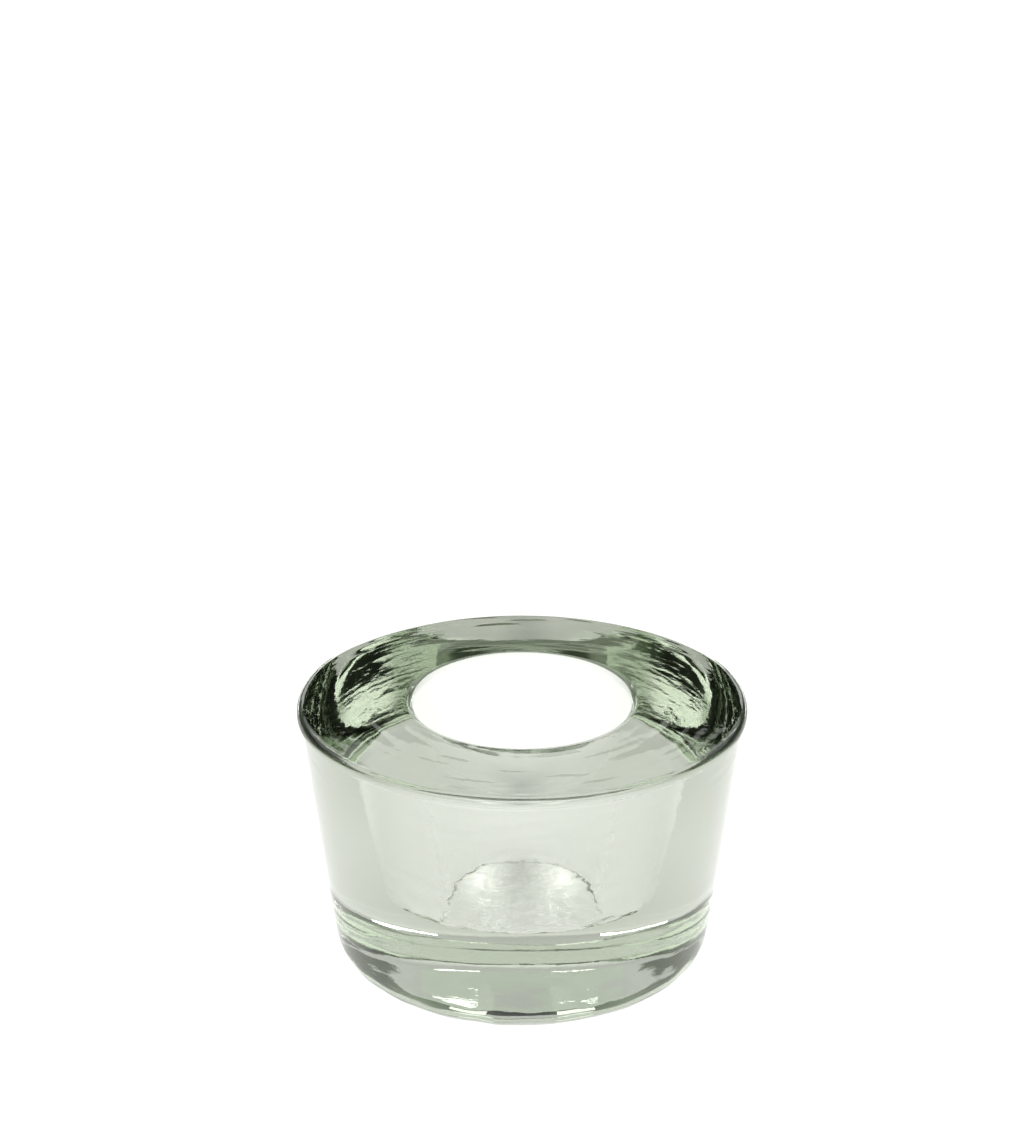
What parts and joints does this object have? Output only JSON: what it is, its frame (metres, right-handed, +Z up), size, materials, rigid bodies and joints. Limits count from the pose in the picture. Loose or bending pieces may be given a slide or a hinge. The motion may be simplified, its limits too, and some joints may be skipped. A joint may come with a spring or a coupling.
{
  "type": "tealight holder",
  "caption": "Round tapered block of thick clear pressed glass with a tapered socket in its top for a tealight.",
  "frame": {"origin": "centre of the flat bottom face, which stands on the table", "axes": "+Z up along the axis of revolution, out through the socket's mouth; X and Y are interchangeable"},
  "size_m": [0.09, 0.09, 0.0555],
  "materials": {
    "pale_green_glass": "clear, fire-polished, faintly rippled"
  },
  "bodies": {
    "root": {"glass_body": "pale_green_glass"}
  },
  "joints": []
}
